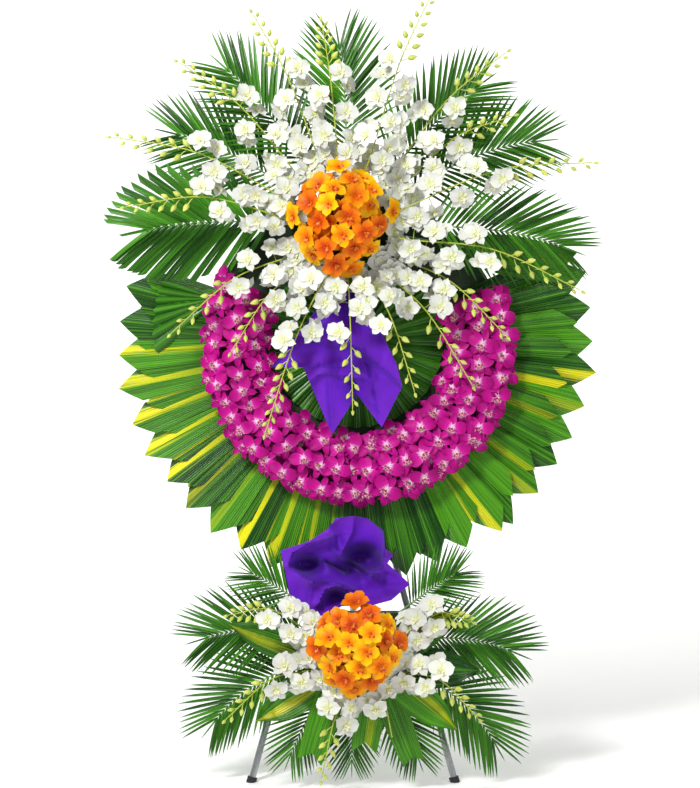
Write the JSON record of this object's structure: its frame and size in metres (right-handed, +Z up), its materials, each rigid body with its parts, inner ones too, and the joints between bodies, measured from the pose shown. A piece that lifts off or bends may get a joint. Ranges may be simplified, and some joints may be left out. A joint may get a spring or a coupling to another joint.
{
  "type": "funeral flower stand",
  "caption": "Orchid wreath with a leaf collar above a smaller arrangement, on a folding three-legged metal easel.",
  "frame": {"origin": "on the floor, at the middle of the stand's footprint box", "axes": "+Z up, -Y towards the viewer and the flowers, +X to the viewer's right"},
  "size_m": [1.0209, 0.5991, 1.6142],
  "materials": {
    "steel_tube": "drawn tube, dull shine",
    "black_rubber": "matte",
    "plywood": "raw thin board",
    "floral_foam": "fine open foam, matte",
    "leaf_green": "waxy leaf",
    "palm_green": "satin leaf",
    "magenta_petal": "soft matte petal",
    "white_petal": "soft matte petal",
    "orange_petal": "soft matte petal",
    "purple_cloth": "non-woven, matte"
  },
  "bodies": {
    "stand": {"apex_bracket": "steel_tube", "backing_board": "plywood", "collar_back_bottom": "leaf_green", "collar_back_left": "leaf_green", "collar_back_right": "leaf_green", "collar_front_bottom": "leaf_green", "collar_front_left": "leaf_green", "collar_front_right": "leaf_green", "crossbar": "steel_tube", "cut_leaf_right": "leaf_green", "fan_leaf_left": "palm_green", "foam_block_lower": "floral_foam", "foam_block_upper": "floral_foam", "foam_tray": "steel_tube", "foot_front_left": "black_rubber", "foot_front_right": "black_rubber", "frond_bottom": "palm_green", "frond_bottom_left": "palm_green", "frond_bottom_right": "palm_green", "frond_left": "palm_green", "frond_left_low": "palm_green", "frond_lower_left": "palm_green", "frond_lower_left_down": "palm_green", "frond_lower_left_up": "palm_green", "frond_lower_right": "palm_green", "frond_lower_right_down": "palm_green", "frond_lower_right_up": "palm_green", "frond_right": "palm_green", "frond_right_low": "palm_green", "frond_top": "palm_green", "frond_top_left": "palm_green", "frond_top_right": "palm_green", "front_leg_left": "steel_tube", "front_leg_right": "steel_tube", "garland_bottom_left": "magenta_petal", "garland_bottom_right": "magenta_petal", "garland_left": "magenta_petal", "garland_right": "magenta_petal", "hinge_pin": "steel_tube", "leaf_whorl_left": "leaf_green", "leaf_whorl_right": "leaf_green", "mast_bar": "steel_tube", "orange_cluster_lower": "orange_petal", "orange_cluster_upper": "orange_petal", "orchids_bottom": "white_petal", "orchids_left": "white_petal", "orchids_lower_arrangement_left": "white_petal", "orchids_lower_arrangement_right": "white_petal", "orchids_lower_left": "white_petal", "orchids_lower_right": "white_petal", "orchids_right": "white_petal", "orchids_top": "white_petal", "orchids_upper_left": "white_petal", "orchids_upper_right": "white_petal", "pleated_palm_fan": "leaf_green", "purple_cloth_lower": "purple_cloth", "purple_cloth_upper": "purple_cloth"},
    "rear_leg": {"rear_leg": "steel_tube", "foot_rear": "black_rubber"}
  },
  "joints": [
    {"name": "rear_leg_fold", "type": "hinge", "parent": "stand", "child": "rear_leg", "pos_m": [-0.006, 0.02952, 0.67619], "axis": [1, 0, 0], "range_deg": [-28, 0]}
  ]
}
